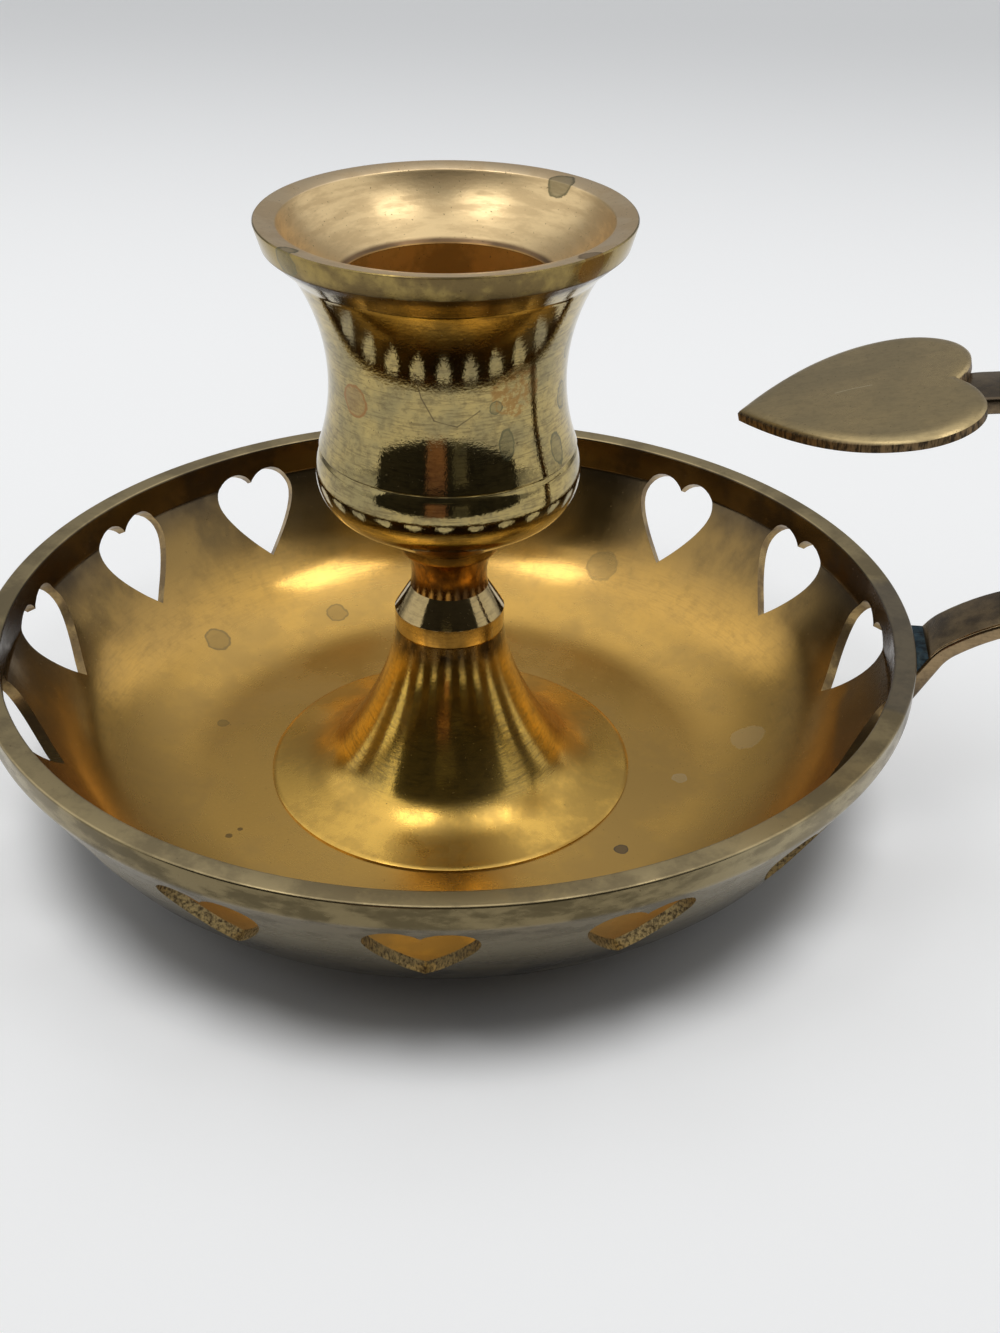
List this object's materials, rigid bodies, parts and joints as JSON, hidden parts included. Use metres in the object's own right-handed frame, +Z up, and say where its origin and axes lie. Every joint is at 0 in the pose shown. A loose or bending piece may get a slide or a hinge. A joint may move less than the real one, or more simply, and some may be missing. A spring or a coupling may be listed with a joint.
{
  "type": "chamberstick",
  "caption": "Brass chamberstick: a round drip pan pierced with hearts, a turned stem and candle cup, and a strap finger loop with a heart-shaped thumb plate.",
  "frame": {"origin": "centre of the flat ring on the underside of the pan, on the stem's axis, at the height of the table", "axes": "+Z up along the stem, out of the candle bore; +X out along the handle"},
  "size_m": [0.1301, 0.108, 0.0702],
  "materials": {
    "pan_brass": "old polished brass, tarnished outside and on the rim, bright inside",
    "stem_brass": "polished brass with spots of tarnish",
    "cup_brass": "polished brass, dulled on the lip, with fine turning lines",
    "rod_steel": "dull dark steel",
    "washer_brass": "dull brass",
    "strap_brass": "dark tarnished brass, brighter on its edges",
    "plate_brass": "satin tarnished brass with a rough sawn edge",
    "braze": "dark blue-green brazing metal"
  },
  "bodies": {
    "root": {"drip_pan": "pan_brass", "bell_foot": "stem_brass", "knop_collar": "stem_brass", "candle_cup": "cup_brass", "tie_rod": "rod_steel", "rod_washer": "washer_brass", "rod_nut": "rod_steel", "handle_strap": "strap_brass", "thumb_plate": "plate_brass", "strap_braze": "braze", "plate_braze": "braze"}
  },
  "joints": []
}
